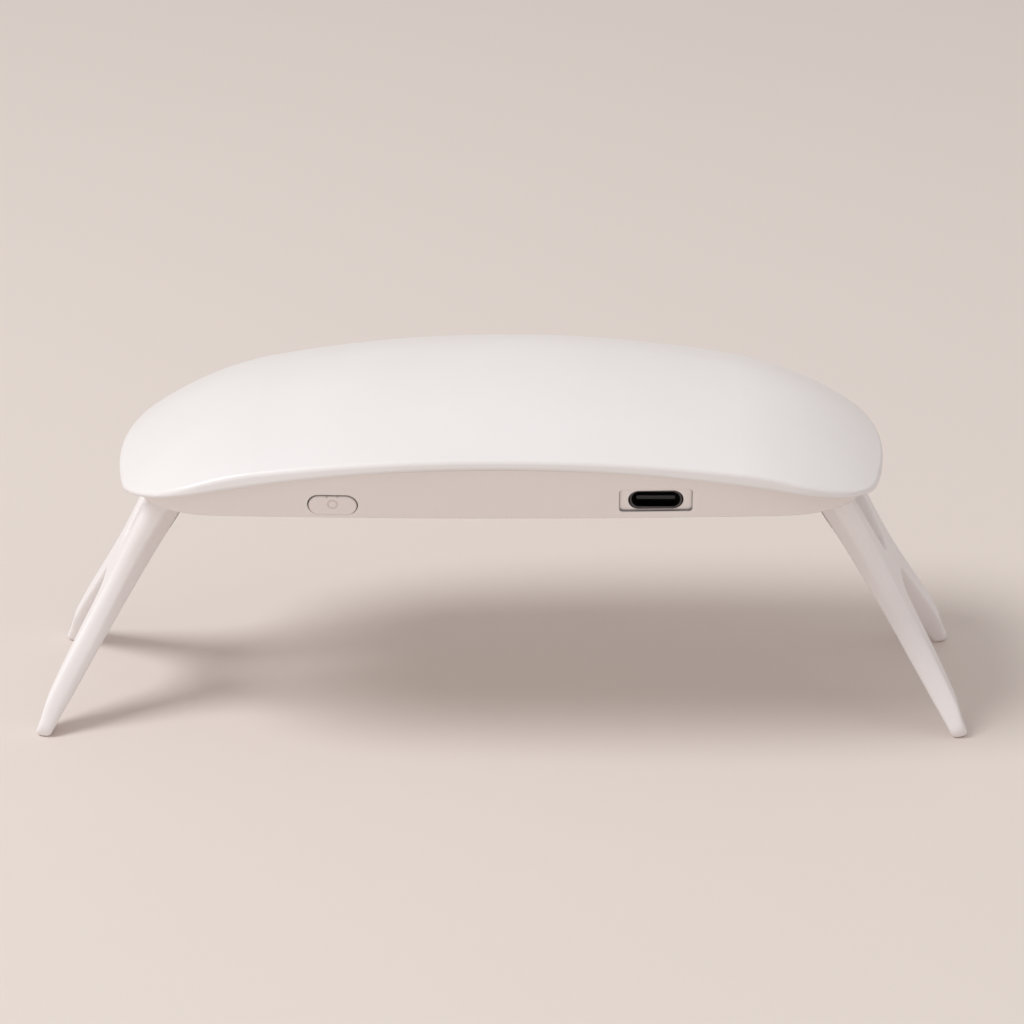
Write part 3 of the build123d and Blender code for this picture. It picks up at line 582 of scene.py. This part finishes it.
class NAILLAMP_OT_legs(bpy.types.Operator):
    """Make both folding legs with softly rounded outer edges"""

    bl_idname = "nail_lamp.legs"
    bl_label = "Legs"

    def execute(self, context):
        settings = context.scene.nail_lamp_finish
        form = context.scene.nail_lamp_legs
        white = moulded("leg white", settings.leg_colour, srgb(231, 225, 225), 0.52)
        right = remeshed(nodes["right_leg"].data, form.mesh_size, REMESH_SMOOTHING)
        self.soften(right, form)
        stand_in("right_leg_form", right, white, "right_leg")
        stand_in("left_leg_form", mirrored(right), white, "left_leg")
        return {"FINISHED"}

    def soften(self, data, form):
        """Rounds the edges round the outer face and fills out the shins."""
        down = Vector((math.sin(form.lean), 0, -math.cos(form.lean)))
        out = Vector((math.cos(form.lean), 0, math.sin(form.lean)))
        hinge = Vector(form.hinge)
        walls = self.walls(out)
        mesh = bmesh.new()
        mesh.from_mesh(data)
        for point in mesh.verts:
            place = point.co - hinge
            along = place.dot(down)
            height = place.dot(out)
            near, normal = walls.find_nearest(point.co)[:2]
            inward = -(normal - out * normal.dot(out)).normalized()
            gap = place - (near - hinge)
            depth = (gap - out * gap.dot(out)).length
            faces_middle = normal.dot(ACROSS) * place.dot(ACROSS) < 0
            in_window = faces_middle and (near - hinge).dot(down) < form.window_end
            if abs(normal.dot(ACROSS)) > SIDEWAYS_LIMIT and not in_window:
                point.co += inward * self.bevel_shift(form, along, height, depth)
            radius = self.edge_radius(form, along, faces_middle)
            sunk_in, sunk_down = self.edge_shift(radius, depth, form.half_thickness - height)
            point.co += inward * sunk_in - out * sunk_down
            swell = smooth_step(along, *SWELL_RISE) * (
                1 - SWELL_LOST_AT_FEET * smooth_step(along, *SWELL_FALL)
            )
            point.co += out * form.swell * swell * max(0.0, height / form.half_thickness)
        upper = form.half_thickness / 3
        rounded = [point for point in mesh.verts if (point.co - hinge).dot(out) > upper]
        for _ in range(FACE_SMOOTHING):
            bmesh.ops.smooth_vert(
                mesh, verts=rounded, factor=0.5, use_axis_x=True, use_axis_y=True, use_axis_z=True
            )
        for point in mesh.verts:
            point.co.z = max(0.0, point.co.z)
        mesh.to_mesh(data)
        mesh.free()

    def walls(self, out):
        """Search tree of the right leg's side walls, between its outer and its inner face."""
        source = nodes["right_leg"].data
        return BVHTree.FromPolygons(
            [point.co for point in source.vertices],
            [
                tuple(face.vertices)
                for face in source.polygons
                if abs(face.normal.dot(out)) < WALL_LEAN_LIMIT
            ],
        )

    def bevel_shift(self, form, along, height, depth):
        """How far a point of a side wall moves in, for the steeper bevel near the hinge."""
        under = form.bevel_start + along * form.bevel_rise - height
        if under <= 0:
            return 0.0
        steep = form.steep_bevel + (form.bevel_angle - form.steep_bevel) * smooth_step(
            along, *STEEP_BEVEL_FADE
        )
        old = under * math.tan(form.bevel_angle)
        new = under * math.tan(steep)
        limit = BEVEL_REACH * new
        if depth >= limit:
            return 0.0
        past = max(0.0, depth - old) / (limit - old)
        return (new - old) * (1 - past) * smooth_step(along, *BEVEL_START_FADE)

    def edge_radius(self, form, along, faces_middle):
        """Rounding of an outer edge at a distance from the hinge."""
        radius = form.inner_round if faces_middle else form.outer_round
        radius += (form.foot_round - radius) * smooth_step(along, *FOOT_ROUND_FADE)
        return radius * smooth_step(along, *HINGE_ROUND_FADE)

    def edge_shift(self, radius, depth, below):
        """How far a point near an outer edge moves in and down to lie on its rounding."""
        if depth >= radius or below >= radius:
            return 0.0, 0.0
        reach = math.hypot(radius - depth, radius - below)
        if reach <= radius:
            return 0.0, 0.0
        scale = radius / reach
        new_depth = radius - (radius - depth) * scale
        new_below = radius - (radius - below) * scale
        return new_depth - depth, new_below - below


class NAILLAMP_OT_button(bpy.types.Operator):
    """Make the timer button, sunk at its upper edge, and finish the switch behind it"""

    bl_idname = "nail_lamp.button"
    bl_label = "Timer button"

    def ring(self, paint):
        """Level that is 1 on the ring of the button's face and 0 away from it."""
        away = paint.distance(paint.place(), RING_CENTRE)
        off = paint.math("ABSOLUTE", away - RING_RADIUS)
        return 1 - paint.math("SMOOTH_MIN", off / RING_HALF_WIDTH, 1.0, RING_SOFTNESS)

    def cap(self):
        """Button a little lower in its hole, whose face leans back towards the top."""
        data = nodes["timer_button"].data.copy()
        mesh = bmesh.new()
        mesh.from_mesh(data)
        bmesh.ops.remove_doubles(mesh, verts=mesh.verts, dist=MERGE_DISTANCE)
        proud = [point for point in mesh.verts if point.co.y < CAP_BACK]
        top = max(point.co.z for point in proud)
        bottom = min(point.co.z for point in proud)
        for point in proud:
            point.co.y += CAP_LEAN * (point.co.z - bottom) / (top - bottom)
            point.co.z -= CAP_DROP
        mesh.to_mesh(data)
        mesh.free()
        return data

    def execute(self, context):
        settings = context.scene.nail_lamp_finish
        # The button gets painted shade darkening its seams and corners.
        white = moulded("button white", settings.button_colour, srgb(233, 224, 221), 0.38, crevice_shade=0.5)
        # Painted shade: the ring groove on the button's face darkened in colour
        white.over(self.ring(white) * GROOVE_SHADE_LEVEL, srgb(120, 104, 100))
        piece = stand_in("timer_button_form", self.cap(), white, "timer_button")
        piece.data.set_sharp_from_angle(angle=CAP_SHARP_ANGLE)
        black = moulded("switch black", srgb(38, 38, 40), srgb(30, 30, 32), 0.5)
        finish(black, "switch_body", "switch_plunger")
        return {"FINISHED"}


class NAILLAMP_OT_socket(bpy.types.Operator):
    """Finish the charging socket"""

    bl_idname = "nail_lamp.socket"
    bl_label = "Charging socket"

    def execute(self, context):
        # Painted shade: the socket's shell is coloured far darker than bare steel, standing in for
        # the shade in its sunken mouth
        metal = brushed_metal(
            "socket metal", srgb(66, 64, 64), srgb(98, 96, 96), roughness=0.24, spread=0.12,
            grain=0.35 * MM, stretch=(1, 0.05, 1), relief=0.004 * MM,
        )
        finish(metal, "usb_shell")
        finish(moulded("socket block", srgb(30, 30, 32), srgb(22, 22, 24), 0.45), "usb_insulator")
        return {"FINISHED"}


class NAILLAMP_OT_lights(bpy.types.Operator):
    """Finish the light sources, their reflector and the circuit board with its small parts"""

    bl_idname = "nail_lamp.lights"
    bl_label = "Light sources and board"

    def execute(self, context):
        resin = Paint("lamp resin")
        grains = resin.noise(RESIN_GRAIN_SIZE, 3.0, 0.6)
        haze = resin.noise(RESIN_HAZE_SIZE, 2.0)
        grain_level = resin.ramp(grains, *RESIN_GRAIN_RANGE) * RESIN_GRAIN_LEVEL
        resin.set(
            Base_Color=resin.mix(grain_level, srgb(240, 226, 150), srgb(226, 204, 116)),
            Roughness=0.1 + haze * 0.12,
            IOR=RESIN_IOR,
        )
        resin.bump(haze, RESIN_HAZE_RELIEF)
        finish(resin, *(name for name in nodes if name.startswith("led_")))
        chips = ["timer_chip", "driver_chip", "resistors"]
        for name, colour, shade, roughness, pieces in (
            ("reflector white", (240, 240, 238), (232, 232, 230), 0.3, ["reflector"]),
            ("board white", (236, 238, 236), (226, 229, 228), 0.35, ["main_board"]),
            ("chip black", (34, 34, 36), (28, 28, 30), 0.55, chips),
            ("ferrite", (72, 72, 76), (60, 60, 64), 0.6, ["power_inductor"]),
            ("ceramic", (172, 148, 116), (160, 134, 102), 0.4, ["capacitors"]),
        ):
            finish(moulded(name, srgb(*colour), srgb(*shade), roughness), *pieces)
        return {"FINISHED"}


class NAILLAMP_OT_fasteners(bpy.types.Operator):
    """Finish the screws and hinge pins"""

    bl_idname = "nail_lamp.fasteners"
    bl_label = "Screws and pins"

    def execute(self, context):
        steel = brushed_metal(
            "steel", srgb(168, 168, 170), srgb(198, 198, 200), roughness=0.28, spread=0.14,
            grain=0.2 * MM,
        )
        finish(steel, "housing_screws", "board_screws", "left_hinge_pin", "right_hinge_pin")
        return {"FINISHED"}


class NAILLAMP_OT_stage(bpy.types.Operator):
    """Make the floor, the lights and the camera"""

    bl_idname = "nail_lamp.stage"
    bl_label = "Floor, lights and camera"

    def execute(self, context):
        settings = context.scene.nail_lamp_stage
        self.floor(context, settings)
        for name in ("key", "side", "right"):
            self.soft_lamp(context, settings, name)
        self.room(context, settings)
        self.camera(context, settings)
        context.scene.view_settings.view_transform = "Standard"
        return {"FINISHED"}

    def floor(self, context, settings):
        """Wide round floor of pale paper."""
        mesh = bmesh.new()
        bmesh.ops.create_circle(mesh, cap_ends=True, segments=FLOOR_SIDES, radius=FLOOR_RADIUS)
        data = bpy.data.meshes.new("floor")
        mesh.to_mesh(data)
        mesh.free()
        piece = bpy.data.objects.new("floor", data)
        context.scene.collection.objects.link(piece)
        paint = Paint("floor paper")
        fibre = paint.noise(FLOOR_FIBRE_SIZE, 4.0)
        cloud = paint.noise(FLOOR_CLOUD_SIZE, 2.0)
        clouded = paint.mix(cloud * FLOOR_CLOUD_LEVEL, settings.floor_colour, srgb(220, 210, 204))
        paint.set(
            Base_Color=clouded,
            Roughness=0.55 + fibre * 0.1,
            Specular_IOR_Level=0.3,
        )
        paint.bump(fibre, FLOOR_FIBRE_RELIEF)
        data.materials.append(paint.material)

    def room(self, context, settings):
        """Even light from all round, and the backdrop that the camera, glass and gloss show."""
        world = bpy.data.worlds.new("room")
        context.scene.world = world
        room = NodeTree(world)
        fill = {"Color": settings.fill_colour, "Strength": settings.fill_level}
        lit = room.node("ShaderNodeBackground", {}, fill)
        seen = room.node("ShaderNodeBackground", {}, {"Color": settings.backdrop_colour})
        path = room.node("ShaderNodeLightPath").outputs
        direct = room.math("MAXIMUM", path["Is Camera Ray"], path["Is Transmission Ray"])
        shown = room.math("MAXIMUM", direct, path["Is Glossy Ray"])
        choice = room.node(
            "ShaderNodeMixShader", {}, {0: shown, 1: lit.outputs[0], 2: seen.outputs[0]}
        )
        room.node("ShaderNodeOutputWorld", {}, {"Surface": choice.outputs[0]})

    def soft_lamp(self, context, settings, name):
        """Round area lamp that shines on the middle of the table."""
        data = bpy.data.lights.new(name, "AREA")
        data.shape = "DISK"
        data.size = getattr(settings, f"{name}_size")
        data.energy = getattr(settings, f"{name}_power")
        data.color = settings.lamp_colour
        lamp = bpy.data.objects.new(name, data)
        towards = Vector(getattr(settings, f"{name}_direction")).normalized()
        lamp.location = towards * LAMP_DISTANCE
        lamp.rotation_mode = "QUATERNION"
        lamp.rotation_quaternion = towards.to_track_quat("Z", "Y")
        context.scene.collection.objects.link(lamp)

    def camera(self, context, settings):
        """Camera where the photograph was taken from."""
        data = bpy.data.cameras.new("camera")
        data.lens = settings.lens
        data.sensor_width = SENSOR_WIDTH
        data.clip_start = CLIP_START
        data.clip_end = CLIP_END
        camera = bpy.data.objects.new("camera", data)
        turn, rise = settings.azimuth, settings.elevation
        back = Vector(
            (math.sin(turn) * math.cos(rise), -math.cos(turn) * math.cos(rise), math.sin(rise))
        )
        camera.location = Vector(settings.target) + back * settings.distance
        camera.rotation_mode = "QUATERNION"
        camera.rotation_quaternion = (-back).to_track_quat("-Z", "Y") @ Quaternion(
            (0, 0, 1), settings.roll
        )
        context.scene.collection.objects.link(camera)
        context.scene.camera = camera


class NAILLAMP_PT_panel(bpy.types.Panel):
    """Pieces and colours of the nail lamp"""

    bl_idname = "NAILLAMP_PT_panel"
    bl_label = "Nail Lamp"
    bl_space_type = "VIEW_3D"
    bl_region_type = "UI"
    bl_category = "Nail Lamp"

    def draw(self, context):
        scene = context.scene
        for group in (scene.nail_lamp_finish, scene.nail_lamp_legs, scene.nail_lamp_stage):
            box = self.layout.box()
            for name in group.bl_rna.properties.keys():
                if name not in ("rna_type", "name"):
                    box.prop(group, name)
        for operator in OPERATORS:
            self.layout.operator(operator.bl_idname)


OPERATORS = (
    NAILLAMP_OT_cover,
    NAILLAMP_OT_housing,
    NAILLAMP_OT_legs,
    NAILLAMP_OT_button,
    NAILLAMP_OT_socket,
    NAILLAMP_OT_lights,
    NAILLAMP_OT_fasteners,
    NAILLAMP_OT_stage,
)
CLASSES = (FinishSettings, LegSettings, StageSettings, *OPERATORS, NAILLAMP_PT_panel)


def register():
    for item in CLASSES:
        bpy.utils.register_class(item)
    bpy.types.Scene.nail_lamp_finish = bpy.props.PointerProperty(type=FinishSettings)
    bpy.types.Scene.nail_lamp_legs = bpy.props.PointerProperty(type=LegSettings)
    bpy.types.Scene.nail_lamp_stage = bpy.props.PointerProperty(type=StageSettings)


def unregister():
    del bpy.types.Scene.nail_lamp_stage
    del bpy.types.Scene.nail_lamp_legs
    del bpy.types.Scene.nail_lamp_finish
    for item in reversed(CLASSES):
        bpy.utils.unregister_class(item)


def main():
    register()
    for operator in OPERATORS:
        group, name = operator.bl_idname.split(".")
        getattr(getattr(bpy.ops, group), name)()


if __name__ == "__main__":
    main()
